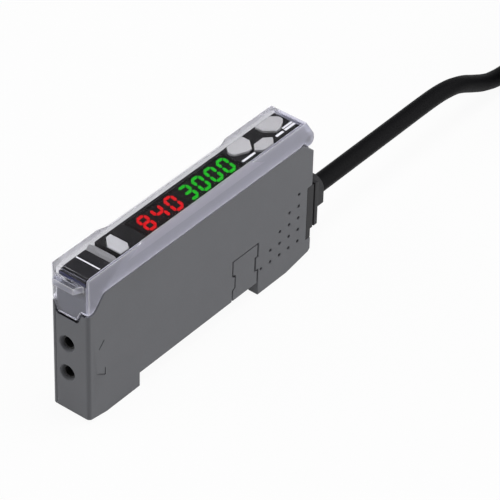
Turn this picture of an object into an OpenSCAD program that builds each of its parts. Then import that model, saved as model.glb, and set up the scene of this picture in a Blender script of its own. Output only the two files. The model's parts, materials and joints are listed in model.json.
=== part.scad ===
// Fibre optic sensor amplifier: a slim rail-mounted case with a clear hinged cover over a digital deck.
// Millimetres. X runs from the fibre ports (-X) to the cable (+X), Y across the case, Z up from the feet.

/* [Case] */
// Width of the case, side to side
case_w = 9; // [8.6:0.1:11]
// Thickness of the two side walls
side_wall = 1; // [0.9:0.05:1.2]
// Thickness of the front wall that holds the fibre ports
front_wall = 2.2; // [2:0.1:3]
// Thickness of the rear wall
rear_wall = 1.2; // [1:0.1:1.5]
// Thickness of the floor above the rail
floor_t = 1.2; // [0.8:0.1:1.6]
// Height of the side walls above the feet
case_h = 28.7; // [27:0.1:33]
// Radius of the upright front edges
upright_r = 0.8; // [0.4:0.1:1.2]
// Rise of the sole at the front end
front_lift = 0.8; // [0.3:0.1:1.2]
// Length of the rising sole at the front end
front_ramp = 5; // [3:0.5:8]
// Rise of the sole at the rear end
rear_lift = 1.2; // [0.5:0.1:1.8]
// Length of the rising sole at the rear end
rear_ramp = 7.6; // [5:0.2:9]
// Diameter of the grip dimples on the near side
dimple_d = 0.7; // [0.5:0.05:1]
// Spacing of the grip dimples
dimple_pitch = 2.9; // [2.2:0.1:3]
// Depth of the grip dimples
dimple_depth = 0.2; // [0.1:0.05:0.3]

/* [Rail mount] */
// Height of the feet below the underside
foot_h = 3.2; // [2.9:0.1:4]
// Length of the front foot
front_foot_l = 14.6; // [13:0.1:18]
// Slot between the feet for a 35 mm rail
rail_slot = 35.7; // [35.3:0.1:36.5]
// How far the rail hooks reach into the slot
hook_reach = 0.9; // [0.5:0.1:1.2]
// Height of the rail hooks
hook_h = 1.3; // [1:0.1:1.5]
// Width of the rail hooks
hook_w = 3.6; // [2.5:0.1:4.5]
// Length of the rail clip
clip_l = 7.5; // [7:0.1:9]
// Height of the rail clip
clip_h = 9.6; // [9:0.1:11]
// Depth of the notches that lock the clip in the walls
clip_notch = 0.8; // [0.5:0.1:1]
// Height of the locking teeth above the underside
clip_tooth_z = 2.9; // [2.4:0.1:3.2]
// Height of the locking teeth themselves
clip_tooth_h = 3.4; // [2.6:0.1:3.8]
// Gap all round the rail clip
clip_gap = 0.3; // [0.1:0.05:0.35]

/* [Fibre ports] */
// Bore for a 2.2 mm fibre
fibre_bore = 2.3; // [2.2:0.05:2.6]
// Diameter of the countersunk mouth
port_mouth = 3.7; // [3.2:0.1:4.2]
// Depth of the countersunk mouth
port_sink = 0.7; // [0.4:0.1:0.9]
// Height of the lower port
port_z = 9.8; // [9:0.1:11]
// Distance between the two ports
port_pitch = 7; // [6:0.1:8]
// Offset of the ports towards the far side
port_y = 0.8; // [0.6:0.1:1.2]
// Outer diameter of the holder's sleeves in the front wall
sleeve_d = 2.9; // [2.8:0.05:3]

/* [Cover] */
// Wall thickness of the clear cover
cover_t = 0.8; // [0.6:0.05:1]
// Clearance between cover and case
cover_gap = 0.15; // [0.1:0.05:0.2]
// How far the cover's sides sit inside the case's sides
cover_inset = 0.1; // [0:0.05:0.2]
// Clear height between the deck and the inside of the cover
head_room = 0.7; // [0.6:0.05:1.2]
// How far the front skirt hangs below the side walls
skirt_drop = 2.8; // [2.2:0.1:3.5]
// How far the skirt wraps round the front corners at its lower edge
skirt_reach = 2.2; // [1.8:0.1:3]
// Run of the sloping rear edge of the skirt
skirt_slope = 2.3; // [1.5:0.1:3]
// How far the tongue hangs below the skirt
tongue_drop = 2.3; // [1.5:0.1:2.6]
// Offset of the tongue towards the far side
tongue_y = 0.6; // [0:0.1:0.8]
// Seam round the skirt and the tongue
seam_gap = 0.4; // [0.15:0.05:0.5]
// Width of the tongue at its lower edge
tongue_w = 4.3; // [3.5:0.1:4.6]
// Slant of the tongue's two sides
tongue_slant = 1; // [0.5:0.1:1.2]
// Reach of the finger lip in front of the case
lip_reach = 1.8; // [1.2:0.1:2.4]
// Thickness of the finger lip
lip_t = 1.4; // [1:0.1:1.8]
// Width of the finger lip at its tip
lip_w = 5; // [4:0.1:5.6]
// Slant of the finger lip's two ends
lip_slant = 0.9; // [0.4:0.1:1.2]
// Height of the lip's top below the top of the cover
lip_down = 1.5; // [1:0.1:2]
// Width of the far bevel along the middle of the top
bevel_w = 0.95; // [0.5:0.05:1.1]
// Height of the far bevel along the middle of the top
bevel_h = 0.7; // [0.4:0.05:0.75]
// Width of the near bevel along the middle of the top
near_bevel_w = 0.5; // [0.3:0.05:0.6]
// Height of the near bevel along the middle of the top
near_bevel_h = 1.9; // [1.4:0.1:2.2]
// Length of the full-width part of the top at the front
front_shoulder = 11.5; // [9:0.5:14]
// Length of the full-width part of the top at the rear
rear_shoulder = 13; // [10:0.5:16]
// Length of the slanted step between full width and bevels
shoulder_step = 4; // [2:0.5:6]
// Diameter of the hinge pegs
peg_d = 1.6; // [1.2:0.1:1.8]
// Radial clearance of the hinge pegs and lever pivots
pivot_gap = 0.05; // [0.03:0.01:0.08]
// Radius of the hinge knuckles
knuckle_r = 1.3; // [1.2:0.05:1.4]

/* [Deck] */
// Height of the deck above the side walls
deck_rise = 3.8; // [3.6:0.1:4.4]
// Thickness of the bezel's plate
bezel_t = 0.8; // [0.7:0.05:1]
// Wall thickness of the bezel's sides
bezel_wall = 0.7; // [0.5:0.05:0.9]
// Clearance round the bezel
bezel_gap = 0.15; // [0.1:0.05:0.25]
// Depth of the bezel from its top to its lower edge
bezel_depth = 4.2; // [4:0.1:5]
// Length of the fibre lock lever
lever_l = 9; // [8:0.1:11]
// Thickness of the lever's plate
lever_t = 1.4; // [1:0.1:1.5]
// Length of the black label on the lever
label_l = 6.9; // [5:0.1:7]
// Thickness of the label
label_t = 0.2; // [0.1:0.05:0.3]
// Clearance between the lever's thumb ridge and the cover
thumb_gap = 0.3; // [0.25:0.05:0.4]
// Diameter of the lever's pivots
pivot_d = 1.6; // [1.2:0.1:1.8]
// Length of the indicator lens
lens_l = 3.3; // [3:0.1:4]
// Width of the indicator lens
lens_w = 5.3; // [4.5:0.1:5.6]
// Slanted corner of the lens at its front, on the far side
lens_cut_far = 2; // [1:0.1:2.4]
// Slanted corner of the lens at its rear, on the near side
lens_cut_near = 1.1; // [0.6:0.1:2]
// How far the lens stands proud of the deck
lens_proud = 0.05; // [0:0.05:0.4]
// How far the keys stand proud of the deck
proud = 0.4; // [0.2:0.05:0.45]
// Clearance round lens and keys in the bezel
key_gap = 0.12; // [0.08:0.02:0.15]
// Space between the lens and the display window
lens_space = 3.8; // [2:0.1:5]
// Travel of the keys
key_travel = 0.3; // [0.2:0.05:0.35]
// Length of an arrow key
key_l = 5.8; // [5:0.1:6.4]
// Width of an arrow key
key_w = 4; // [3.6:0.1:4.2]
// Space between the two arrow keys
key_space = 4; // [3.8:0.1:5]
// Length of the set key
set_l = 5.6; // [5:0.1:5.8]
// Width of the set key
set_w = 2.7; // [2.2:0.1:2.8]
// Side of the square tactile switches
switch_w = 2.4; // [2:0.1:2.5]
// Height of the tactile switches
switch_h = 0.9; // [0.7:0.05:1]
// Diameter of the switch plungers
plunger_d = 1.2; // [0.9:0.1:1.4]

/* [Display] */
// Height of a digit
digit_h = 4.5; // [3.8:0.1:4.6]
// Width of a digit
digit_w = 2.7; // [2.2:0.1:3]
// Width of a digit's bars
digit_bar = 0.65; // [0.4:0.05:0.7]
// Gap between a digit's bars
digit_gap = 0.1; // [0.06:0.02:0.16]
// Sideways lean of a digit over its height
digit_lean = 0.8; // [0:0.1:1]
// Distance between red digits
red_pitch = 3.9; // [3.8:0.1:4.4]
// Distance between green digits
green_pitch = 3.7; // [3.6:0.1:4.2]
// Thickness of the smoked window
window_t = 0.4; // [0.3:0.05:0.5]

/* [Electronics] */
// Offset of the main board towards the far side
main_y = 0.6; // [0.4:0.1:0.8]
// Thickness of the circuit boards
board_t = 0.8; // [0.6:0.1:1]
// Diameter of the emitter and receiver packages
diode_d = 3; // [2.6:0.1:3.2]
// Length of the fibre holder
holder_l = 6.8; // [6:0.1:8]
// Height of a chip
chip_h = 1.1; // [0.8:0.1:1.4]
// Side of a square chip
chip_side = 7; // [5:0.5:8]
// Distance between the two chips
chip_pitch = 12; // [10:0.5:13]
// Length of the header between the boards
header_l = 12; // [8:0.5:16]
// Thickness of the header
header_t = 1.8; // [1.4:0.1:2]

/* [Cable] */
// Diameter of the cable
cable_d = 3.8; // [3.4:0.1:4.2]
// Height of the cable's axis where it leaves the bush
cable_z = 11; // [11:0.5:13]
// Half height of the bush's notch in the case
notch_half = 6.5; // [6:0.1:6.5]
// How far the bush stands out behind the case
bush_reach = 2.2; // [1.8:0.1:3]
// Length of the bush's round boss
boss_l = 4.2; // [3:0.1:6]
// Half width of the bush's round boss
boss_r = 2.7; // [2.4:0.1:3]
// Height of the bush's block below the cable's axis
bush_low = 4.4; // [4:0.1:5]
// Height of the bush's block above the cable's axis
bush_high = 6.2; // [5.5:0.1:7]
// Straight run of the stored hank
hank_run = 55; // [52:1:70]
// Thickness of the tie on the hank
tie_t = 0.7; // [0.5:0.1:1]

/* [Hidden] */
$fn = 48;
cut = 1;

// Colours
grey = [0.41, 0.42, 0.43];
pale_grey = [0.78, 0.78, 0.78];
dark_grey = [0.24, 0.24, 0.25];
black = [0.07, 0.07, 0.08];
clear = [0.8, 0.8, 0.88, 0.4];
red = [0.9, 0.1, 0.12];
green = [0.1, 0.85, 0.2];
board_green = [0.1, 0.35, 0.2];
metal = [0.75, 0.75, 0.72];

// Widths, from the outside in
half = case_w / 2;
inner_half = half - side_wall;
cover_half = half - cover_inset;
cover_in = cover_half - cover_t;
core_half = cover_in - cover_gap;
bezel_half = min(inner_half, cover_in) - bezel_gap;
bezel_in = bezel_half - bezel_wall;
lever_half = core_half - 0.2;
pad_in = core_half - 1;
arm_half = pad_in - 0.2;
arm_t = 0.9;
clamp_half = arm_half - arm_t - 0.35;

// Heights, from the feet up
floor_z = foot_h + floor_t;
deck_z = case_h + deck_rise;
ceiling_z = deck_z + head_room;
top_z = ceiling_z + cover_t;
plate_z = deck_z - bezel_t;
module_top = deck_z - window_t - 0.17;
ledge_z = deck_z - bezel_depth;
board_drop = 2;
board_z = plate_z - board_drop;
main_top = ledge_z - 0.3;
skirt_z = case_h - skirt_drop;
tongue_z = skirt_z - tongue_drop;
lip_z = top_z - lip_down;
hinge_z = deck_z - 3.4;
rear_h = hinge_z - 3.1;
lever_top = deck_z - 0.2;
thumb_top = ceiling_z - thumb_gap;
pivot_z = deck_z - 3.9;
pad_top = pivot_z + 1.1;
pad_z = pivot_z - pivot_d / 2 - 2.5;

// Places along the deck, from the front
lever_x0 = cover_t + 0.4;
lever_x1 = lever_x0 + lever_l;
pivot_x = lever_x0 + 4;
bezel_x0 = lever_x1 + 0.7;
deck_edge = 0.4;
lens_x = bezel_x0 + deck_edge + lens_l / 2;
window_x0 = lens_x + lens_l / 2 + lens_space;
digit_margin = 1.6;
red_x0 = window_x0 + digit_margin;
red_count = 3;
red_x1 = red_x0 + (red_count - 1) * red_pitch + digit_w + digit_lean;
green_x0 = red_x1 + 0.9;
green_count = 4;
green_x1 = green_x0 + (green_count - 1) * green_pitch + digit_w + digit_lean;
window_x1 = green_x1 + 0.45;
window_half = digit_h / 2 + 0.5;
red_module = [red_x0 - 0.6, red_x1 + 0.4];
green_module = [green_x0 - 0.4, green_x1 + 0.05];
module_half = digit_h / 2 + 0.1;
module_gap = 0.2;
left_key_x = window_x1 + 0.55 + key_l / 2;
right_key_x = left_key_x + key_l + key_space;
set_key_x = (left_key_x + right_key_x) / 2 - 1.1;
key_wall = 0.2;
arrow_y = bezel_half - key_wall - key_gap - key_w / 2;
set_y = -bezel_half + key_wall + key_gap + set_w / 2;
set_switch_y = -bezel_in + switch_w / 2 + 0.15;
bezel_x1 = right_key_x + key_l / 2 + 0.7;
case_l = bezel_x1 + 2.9;
hinge_x = case_l - 1.3;
cover_x1 = case_l - 2.6;
foot2_x = front_foot_l + rail_slot;
clip_x1 = foot2_x - clip_gap;
clip_x0 = clip_x1 - clip_l;

// Fibre end and boards
holder_x1 = front_wall + holder_l;
holder_z0 = port_z - 2.6;
holder_z1 = port_z + port_pitch + 2.6;
diode_seat = 1.5;
diode_x1 = holder_x1 + 2.5;
main_x0 = diode_x1;
main_x1 = case_l - rear_wall - 3;
post_d = 2;
post_x = [main_x0 + 3, foot2_x + 4];
post_z = [floor_z + 3, main_top - 3];

// Cable bush
notch_x = case_l - 1.5;
notch_z0 = cable_z - notch_half;
notch_z1 = cable_z + notch_half;
bush_gap = 0.1;
bush_x1 = case_l + bush_reach;
boss_x1 = bush_x1 + boss_l;

// The frame's origin is under the middle of the part, without the cable
mid_x = (boss_x1 - lip_reach) / 2;

// Cable route to the hank, in the part's own frame, after its first point at the bush
cable_points = [
    [46, 0, 11], [56, 0, 11], [66, 0, 11], [74, 0, 11], [80, 0, 10.8], [85, 0, 10], [89, 0, 8.6],
    [93, 0, 6.6], [97, 0, 4.7], [101, 0, 3.4], [106, 0, 2.7], [113, 0, 2.7], [121, 0, 2.7]
];
cable_sides = 8;
hank_x = cable_points[len(cable_points) - 1][0] + hank_run / 2;
hank_turns = 2;
hank_layers = 5;
hank_fold = 3.05 * cable_d;
hank_inner = hank_fold - cable_d / 2;
hank_outer = hank_inner + hank_turns * cable_d;
hank_y = -(hank_outer - cable_d / 2);
tie_gap = 0.1;
hank_z = tie_t + tie_gap;
hank_h = hank_layers * cable_d;
tie_w = 4;
lead_d = 1;
lead_pitch = 1.3;
lead_l = 22;
lead_x = 140;

// Moves a shape from the case's own front face to the part's frame
module in_frame() {
    translate([-mid_x, 0, 0])
        children();
}

// A solid from a side outline in X and Z, between two places across the case
module side_slab(y0, y1) {
    translate([0, y1, 0])
        rotate([90, 0, 0])
            linear_extrude(height = y1 - y0)
                children();
}

// A box between two corners
module block(low, high) {
    translate(low)
        cube(high - low);
}

// A round bar across the case
module cross_bar(x, z, d, y0, y1) {
    translate([x, y1, z])
        rotate([90, 0, 0])
            cylinder(d = d, h = y1 - y0);
}

// A round bar along the case
module long_bar(y, z, d, x0, x1) {
    translate([x0, y, z])
        rotate([0, 90, 0])
            cylinder(d = d, h = x1 - x0);
}

// Side outline of the case, with its feet and the slope under the hinge
module case_outline() {
    polygon([
        [0, front_lift], [front_ramp, 0], [front_foot_l, 0], [front_foot_l, foot_h], [foot2_x, foot_h],
        [foot2_x, 0], [case_l - rear_ramp, 0], [case_l - 0.6, rear_lift], [case_l, rear_lift + 0.5],
        [case_l, rear_h], [hinge_x - 2.1, case_h], [0, case_h]
    ]);
}

// Side outline of the cover's skirt round the front corners, grown by a gap
module skirt_outline(gap) {
    polygon([
        [-cut, skirt_z - gap], [skirt_reach - 0.6, skirt_z - gap], [skirt_reach + gap, skirt_z + 0.5],
        [skirt_reach + skirt_slope + gap, case_h + gap], [skirt_reach + skirt_slope + gap, top_z + cut],
        [-cut, top_z + cut]
    ]);
}

// Front outline of the cover's tongue, grown by a gap
module tongue_outline(gap) {
    polygon([
        for (p = [[1, cut], [1, 0], [0, -tongue_drop - gap]])
            [tongue_y - tongue_w / 2 - p[0] * tongue_slant - gap, skirt_z + p[1]],
        for (p = [[0, -tongue_drop - gap], [1, 0], [1, cut]])
            [tongue_y + tongue_w / 2 + p[0] * tongue_slant + gap, skirt_z + p[1]]
    ]);
}

// The room that the cover's skirt and tongue need in the case
module skirt_room() {
    depth = cover_t + cover_gap;
    difference() {
        side_slab(-half - cut, half + cut)
            skirt_outline(seam_gap);
        block([depth, -core_half, 0], [case_l, core_half, top_z + 2 * cut]);
    }
    rotate([90, 0, 90])
        linear_extrude(height = depth)
            tongue_outline(seam_gap);
}

// Side outline of the rail clip, grown by a gap
module clip_outline(gap) {
    x0 = clip_x0 - gap;
    x1 = clip_x1 + gap;
    low = foot_h + clip_tooth_z + gap;
    high = foot_h + clip_tooth_z + clip_tooth_h - gap;
    polygon([
        [x0, foot_h - cut], [x0, low - 0.4], [x0 + clip_notch, low], [x0 + clip_notch, high - 0.3],
        [x0, high],
        [x0, foot_h + clip_h + gap], [x1, foot_h + clip_h + gap], [x1, high + 0.4],
        [x1 - clip_notch, high + 0.4], [x1 - clip_notch, low + 0.2], [x1, low + 0.2], [x1, foot_h - cut]
    ]);
}

// Plan of the case with rounded front edges
module case_plan() {
    translate([upright_r, -half])
        square([case_l - upright_r, case_w]);
    translate([0, -half + upright_r])
        square([2 * upright_r, case_w - 2 * upright_r]);
    for (side = [-1, 1])
        translate([upright_r, side * (half - upright_r)])
            circle(r = upright_r);
}

// One wall of the case or its whole outer form, between two places across it
module case_slab(y0, y1) {
    intersection() {
        side_slab(y0, y1)
            case_outline();
        linear_extrude(height = top_z)
            case_plan();
    }
}

// Openings that case body and side cover share: skirt, rail clip and cable bush
module shared_openings() {
    skirt_room();
    side_slab(-half - cut, half + cut)
        clip_outline(clip_gap);
    block([notch_x, -half - cut, notch_z0], [case_l + cut, half + cut, notch_z1]);
}

// Pad on the inside of a side wall, with a blind bore for the lever's pivot
module lever_pad(side) {
    reach = core_half - 0.2;
    low = side > 0 ? pad_in : -inner_half - cut / 2;
    high = side > 0 ? inner_half + cut / 2 : -pad_in;
    difference() {
        union() {
            block([front_wall, low, pad_z], [pivot_x + 3, high, case_h]);
            block([front_wall, side > 0 ? pad_in : -core_half, pad_z],
                [pivot_x + 3, side > 0 ? core_half : -pad_in, pad_top]);
        }
        cross_bar(pivot_x, pivot_z, pivot_d + 2 * pivot_gap, side > 0 ? pad_in - cut : -reach,
            side > 0 ? reach : -pad_in + cut);
    }
}

// Ledge on the inside of a side wall that carries the bezel
module bezel_ledge(side) {
    low = side > 0 ? bezel_in : -inner_half - cut / 2;
    high = side > 0 ? inner_half + cut / 2 : -bezel_in;
    block([bezel_x0 + 2, low, ledge_z - 1], [bezel_x1 - 4, high, ledge_z]);
}

// Fibre ports through the front wall
module fibre_ports() {
    for (z = [port_z, port_z + port_pitch]) {
        long_bar(port_y, z, sleeve_d + 0.1, -cut, front_wall + cut);
        translate([-0.01, port_y, z])
            rotate([0, 90, 0])
                cylinder(d1 = port_mouth, d2 = sleeve_d + 0.1, h = port_sink);
    }
}

// Triangle of grip dimples near the rear of the near side
module grip_dimples() {
    rows = 5;
    for (i = [0 : rows - 1])
        for (j = [0 : rows - 1 - i])
            cross_bar(case_l - 4.25 - i * dimple_pitch, foot_h + 2.8 + j * dimple_pitch, dimple_d,
                -half - cut, -half + dimple_depth);
}

// Case moulding: near side, front, floor and rear walls, feet and hinge lug
module case_body() {
    color(grey)
        in_frame()
            difference() {
                union() {
                    difference() {
                        case_slab(-half, inner_half);
                        block([front_wall, -inner_half, floor_z],
                            [case_l - rear_wall, half + cut, top_z + cut]);
                    }
                    lever_pad(-1);
                    bezel_ledge(-1);
                    for (x = post_x, z = post_z)
                        cross_bar(x, z, post_d, -inner_half - cut / 2, main_y);
                    cross_bar(hinge_x, hinge_z, 2 * knuckle_r - 0.1, -bezel_half, bezel_half);
                    block([hinge_x - 1, -bezel_half, rear_h - 2], [case_l - 0.25, bezel_half, hinge_z]);
                    block([front_foot_l - cut, -hook_w / 2, 0.3],
                        [front_foot_l + hook_reach, hook_w / 2, 0.3 + hook_h]);
                }
                shared_openings();
                fibre_ports();
                grip_dimples();
                cross_bar(hinge_x, hinge_z, peg_d + 2 * pivot_gap, -half, half);
                block([foot2_x - cut, -hook_w / 2 - clip_gap, -cut],
                    [foot2_x + 1.5, hook_w / 2 + clip_gap, floor_z + cut]);
            }
}

// Far side wall that closes the case
module side_cover() {
    color(grey)
        in_frame()
            difference() {
                union() {
                    case_slab(inner_half, half);
                    lever_pad(1);
                    bezel_ledge(1);
                    for (x = post_x, z = post_z)
                        cross_bar(x, z, post_d, main_y + board_t, inner_half + cut / 2);
                }
                shared_openings();
            }
}

// Side outline of the clear cover
module cover_outline() {
    low = case_h + cover_gap;
    polygon([
        [0, skirt_z], [skirt_reach - 0.6, skirt_z], [skirt_reach, skirt_z + 0.5],
        [skirt_reach + skirt_slope, low], [hinge_x - 3.2, low], [hinge_x - 1.9, hinge_z + 0.1],
        [hinge_x, hinge_z - knuckle_r], [hinge_x + knuckle_r, hinge_z], [hinge_x + 1.15, hinge_z + 1.1],
        [cover_x1, top_z], [0, top_z]
    ]);
    translate([hinge_x, hinge_z])
        circle(r = knuckle_r);
}

// Hollow of the clear cover, open below and behind the hinge lug
module cover_hollow() {
    polygon([
        [cover_t, -cut], [cover_t, ceiling_z], [cover_x1 - 0.4, ceiling_z], [cover_x1 + 0.95, hinge_z + 2],
        [case_l + 3, hinge_z + 2], [case_l + 3, -cut]
    ]);
}

// Long bevel along one upper edge of the cover, with slanted ends
module cover_bevel(side, w, h) {
    x0 = front_shoulder;
    x1 = cover_x1 - rear_shoulder;
    tilt = atan2(h, w);
    slope = sqrt(w * w + h * h);
    translate([0, side * (cover_half - w), top_z])
        rotate([-side * tilt, 0, 0])
            linear_extrude(height = 2)
                polygon([
                    [x0 + shoulder_step, 0], [x1 - shoulder_step, 0], [x1, side * slope],
                    [x1 + shoulder_step, side * 2 * slope], [x0 - shoulder_step, side * 2 * slope],
                    [x0, side * slope]
                ]);
}

// Finger lip in front of the cover
module finger_lip() {
    translate([0, 0, lip_z - lip_t])
        linear_extrude(height = lip_t)
            polygon([
                [cover_t / 2, -lip_w / 2 - lip_slant], [0, -lip_w / 2 - lip_slant], [-lip_reach, -lip_w / 2],
                [-lip_reach, lip_w / 2], [0, lip_w / 2 + lip_slant], [cover_t / 2, lip_w / 2 + lip_slant]
            ]);
}

// Clear hinged cover
module clear_cover() {
    color(clear)
        in_frame() {
            difference() {
                intersection() {
                    side_slab(-cover_half, cover_half)
                        cover_outline();
                    linear_extrude(height = top_z)
                        case_plan();
                }
                side_slab(-cover_in, cover_in)
                    cover_hollow();
                cover_bevel(1, bevel_w, bevel_h);
                cover_bevel(-1, near_bevel_w, near_bevel_h);
            }
            finger_lip();
            rotate([90, 0, 90])
                linear_extrude(height = cover_t)
                    tongue_outline(0);
            for (side = [-1, 1])
                cross_bar(hinge_x, hinge_z, peg_d, side > 0 ? cover_in - 1.2 : -cover_in - 0.1,
                    side > 0 ? cover_in + 0.1 : -cover_in + 1.2);
        }
}

// Plan of the lever, with its round thumb end
module lever_plan() {
    thumb_r = lever_half * 2.1;
    intersection() {
        translate([lever_x0, -lever_half])
            square([lever_l, 2 * lever_half]);
        translate([lever_x1 - thumb_r, 0])
            circle(r = thumb_r);
    }
    translate([lever_x0, -lever_half])
        square([lever_l / 2, 2 * lever_half]);
}

// Fibre lock lever: plate with a thumb ridge at its rear end, two arms and two pivots
module lock_lever() {
    ridge_x = lever_x0 + label_l + 0.1;
    color(grey)
        in_frame() {
            intersection() {
                linear_extrude(height = top_z)
                    lever_plan();
                side_slab(-half, half)
                    polygon([
                        [lever_x0, lever_top - lever_t], [lever_x1, lever_top - lever_t - 0.2],
                        [lever_x1, lever_top - 0.3], [lever_x1 - 0.3, thumb_top - 0.2],
                        [lever_x1 - 0.8, thumb_top], [ridge_x + 0.6, thumb_top - 0.1],
                        [ridge_x, lever_top], [lever_x0, lever_top]
                    ]);
            }
            for (side = [-1, 1]) {
                low = side > 0 ? arm_half - arm_t : -arm_half;
                block([pivot_x - 1.5, low, pivot_z - 1.3],
                    [pivot_x + 1.5, low + arm_t, lever_top - lever_t / 2]);
                cross_bar(pivot_x, pivot_z, pivot_d, side > 0 ? arm_half - 0.1 : -core_half + 0.3,
                    side > 0 ? core_half - 0.3 : -arm_half + 0.1);
            }
        }
}

// Black label with a turned-down front edge
module label_plate() {
    color(black)
        in_frame() {
            block([lever_x0 - label_t, -lever_half + 0.1, lever_top], [lever_x0 + label_l, lever_half - 0.1,
                lever_top + label_t]);
            block([lever_x0 - label_t, -lever_half + 0.1, lever_top - lever_t],
                [lever_x0, lever_half - 0.1, lever_top + label_t]);
        }
}

// Plan of the hexagonal lens, grown by a gap
module lens_plan(gap) {
    x = lens_l / 2 + gap;
    y = lens_w / 2 + gap;
    polygon([
        [-x, -y], [x - lens_cut_near, -y], [x, -y + lens_cut_near], [x, y], [-x + lens_cut_far, y],
        [-x, y - lens_cut_far]
    ]);
}

// Plan of an arrow key that points along X, grown by a gap
module arrow_plan(gap) {
    tip = 1.3;
    x = key_l / 2 + gap;
    y = key_w / 2 + gap;
    hull() {
        translate([x - tip, 0.2])
            circle(r = tip, $fn = 32);
        polygon([[-x, 0], [-x, y], [x - 1.2, y], [0, -y], [-x + 1.8, -y]]);
    }
}

// Plan of the set key, a stretched hexagon, grown by a gap
module set_plan(gap) {
    x = set_l / 2 + gap;
    y = set_w / 2 + gap;
    polygon([[-x, 0], [-x + 1.4, -y], [x - 1.4, -y], [x, 0], [x - 1.4, y], [-x + 1.4, y]]);
}

// Places one of the keys' shapes on the deck
module at_key(which) {
    if (which == "left")
        translate([left_key_x, arrow_y, 0])
            mirror([1, 0, 0])
                children();
    else if (which == "right")
        translate([right_key_x, arrow_y, 0])
            children();
    else
        translate([set_key_x, set_y, 0])
            children();
}

// Places a switch, a plunger or a stem under one of the keys
module at_switch(which) {
    at_key(which)
        translate([0, which == "set" ? set_switch_y - set_y : 0, 0])
            children();
}

// Plan of one key, grown by a gap
module key_plan(which, gap) {
    if (which == "set")
        set_plan(gap);
    else
        arrow_plan(gap);
}

// Black bezel: an upturned tray with openings for lens, display and keys
module display_bezel() {
    color(black)
        in_frame()
            difference() {
                block([bezel_x0, -bezel_half, ledge_z], [bezel_x1, bezel_half, deck_z]);
                block([bezel_x0 + bezel_wall, -bezel_in, ledge_z - cut],
                    [bezel_x1 - bezel_wall, bezel_in, plate_z]);
                for (ends = [red_module, green_module])
                    block([ends[0] - module_gap, -module_half - module_gap, ledge_z - cut],
                        [ends[1] + module_gap, module_half + module_gap, plate_z]);
                block([window_x0 + 0.4, -window_half + 0.3, plate_z - cut],
                    [window_x1 - 0.3, window_half - 0.3, deck_z + cut]);
                block([window_x0, -window_half, deck_z - window_t], [window_x1, window_half, deck_z + cut]);
                translate([lens_x, 0, plate_z - cut])
                    linear_extrude(height = bezel_t + 2 * cut)
                        lens_plan(key_gap);
                for (which = ["left", "right", "set"])
                    at_key(which)
                        translate([0, 0, plate_z - cut])
                            linear_extrude(height = bezel_t + 2 * cut)
                                key_plan(which, key_gap);
            }
}

// Smoked window over the digits
module display_window() {
    fit = 0.05;
    color([0.1, 0.08, 0.09, 0.7])
        in_frame()
            block([window_x0 + fit, -window_half + fit, deck_z - window_t],
                [window_x1 - fit, window_half - fit, deck_z]);
}

// Display module under the window, standing on the display board
module display_module(ends) {
    color(black)
        in_frame()
            block([ends[0], -module_half, board_z], [ends[1], module_half, module_top]);
}

// Red display module
module red_display() {
    display_module(red_module);
}

// Green display module
module green_display() {
    display_module(green_module);
}

// A point of a digit, leaned sideways
function leaned(p) = [p[0] + digit_lean * (p[1] / digit_h + 0.5), p[1]];

// A bar of a digit between two joints, with pointed ends
module digit_bar_plan(a, b) {
    along = (b - a) / norm(b - a);
    across = [-along[1], along[0]] * digit_bar / 2;
    start = a + along * digit_gap;
    end = b - along * digit_gap;
    inset = along * digit_bar / 2;
    polygon([
        for (p = [start, start + inset + across, end - inset + across, end, end - inset - across,
            start + inset - across]) leaned(p)
    ]);
}

// Joints and bars of a seven-bar digit, and the bars that are lit for a numeral
digit_y = digit_h / 2 - digit_bar / 2;
digit_x0 = digit_bar / 2;
digit_x1 = digit_w - digit_bar / 2;
digit_bars = [
    [[digit_x0, digit_y], [digit_x1, digit_y]], [[digit_x1, 0], [digit_x1, digit_y]],
    [[digit_x1, -digit_y], [digit_x1, 0]], [[digit_x0, -digit_y], [digit_x1, -digit_y]],
    [[digit_x0, -digit_y], [digit_x0, 0]], [[digit_x0, 0], [digit_x0, digit_y]],
    [[digit_x0, 0], [digit_x1, 0]]
];
lit_bars = [
    [0, 1, 2, 3, 4, 5], [1, 2], [0, 1, 3, 4, 6], [0, 1, 2, 3, 6], [1, 2, 5, 6], [0, 2, 3, 5, 6],
    [0, 2, 3, 4, 5, 6], [0, 1, 2], [0, 1, 2, 3, 4, 5, 6], [0, 1, 2, 3, 5, 6]
];

// Lit bars of a row of digits, on top of their display module
module digit_row(x0, pitch, numerals) {
    in_frame()
        for (i = [0 : len(numerals) - 1])
            for (bar = lit_bars[numerals[i]])
                translate([x0 + i * pitch, 0, module_top])
                    linear_extrude(height = 0.12)
                        digit_bar_plan(digit_bars[bar][0], digit_bars[bar][1]);
}

// Red digits
module red_digits() {
    color(red)
        digit_row(red_x0, red_pitch, [8, 4, 0]);
}

// Green digits
module green_digits() {
    color(green)
        digit_row(green_x0, green_pitch, [3, 0, 0, 0]);
}

// Hexagonal lens of the indicator, with a flange under the bezel's plate
module indicator_lens() {
    color(pale_grey)
        in_frame()
            translate([lens_x, 0, 0]) {
                translate([0, 0, plate_z])
                    linear_extrude(height = bezel_t + lens_proud)
                        lens_plan(0);
                block([bezel_x0 + bezel_wall + 0.05 - lens_x, -bezel_in + 0.1, plate_z - 0.5],
                    [lens_l / 2 + 0.4, bezel_in - 0.1, plate_z]);
            }
}

// Indicator LED on the display board, under the lens
module indicator_led() {
    color(pale_grey)
        in_frame()
            block([lens_x - 0.8, -0.8, board_z], [lens_x + 0.8, 0.8, plate_z - 0.55]);
}

// Ears under the bezel's plate that keep a key in
module key_ears(which) {
    reach = 0.35;
    low = plate_z - 0.5;
    high = plate_z - 0.05;
    if (which == "set")
        block([-set_l / 2 - reach, -0.5, low], [set_l / 2 + reach, 0.5, high]);
    else
        block([-key_l / 2 - reach, 0.2, low], [0, key_w / 2 - 0.6, high]);
}

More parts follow.
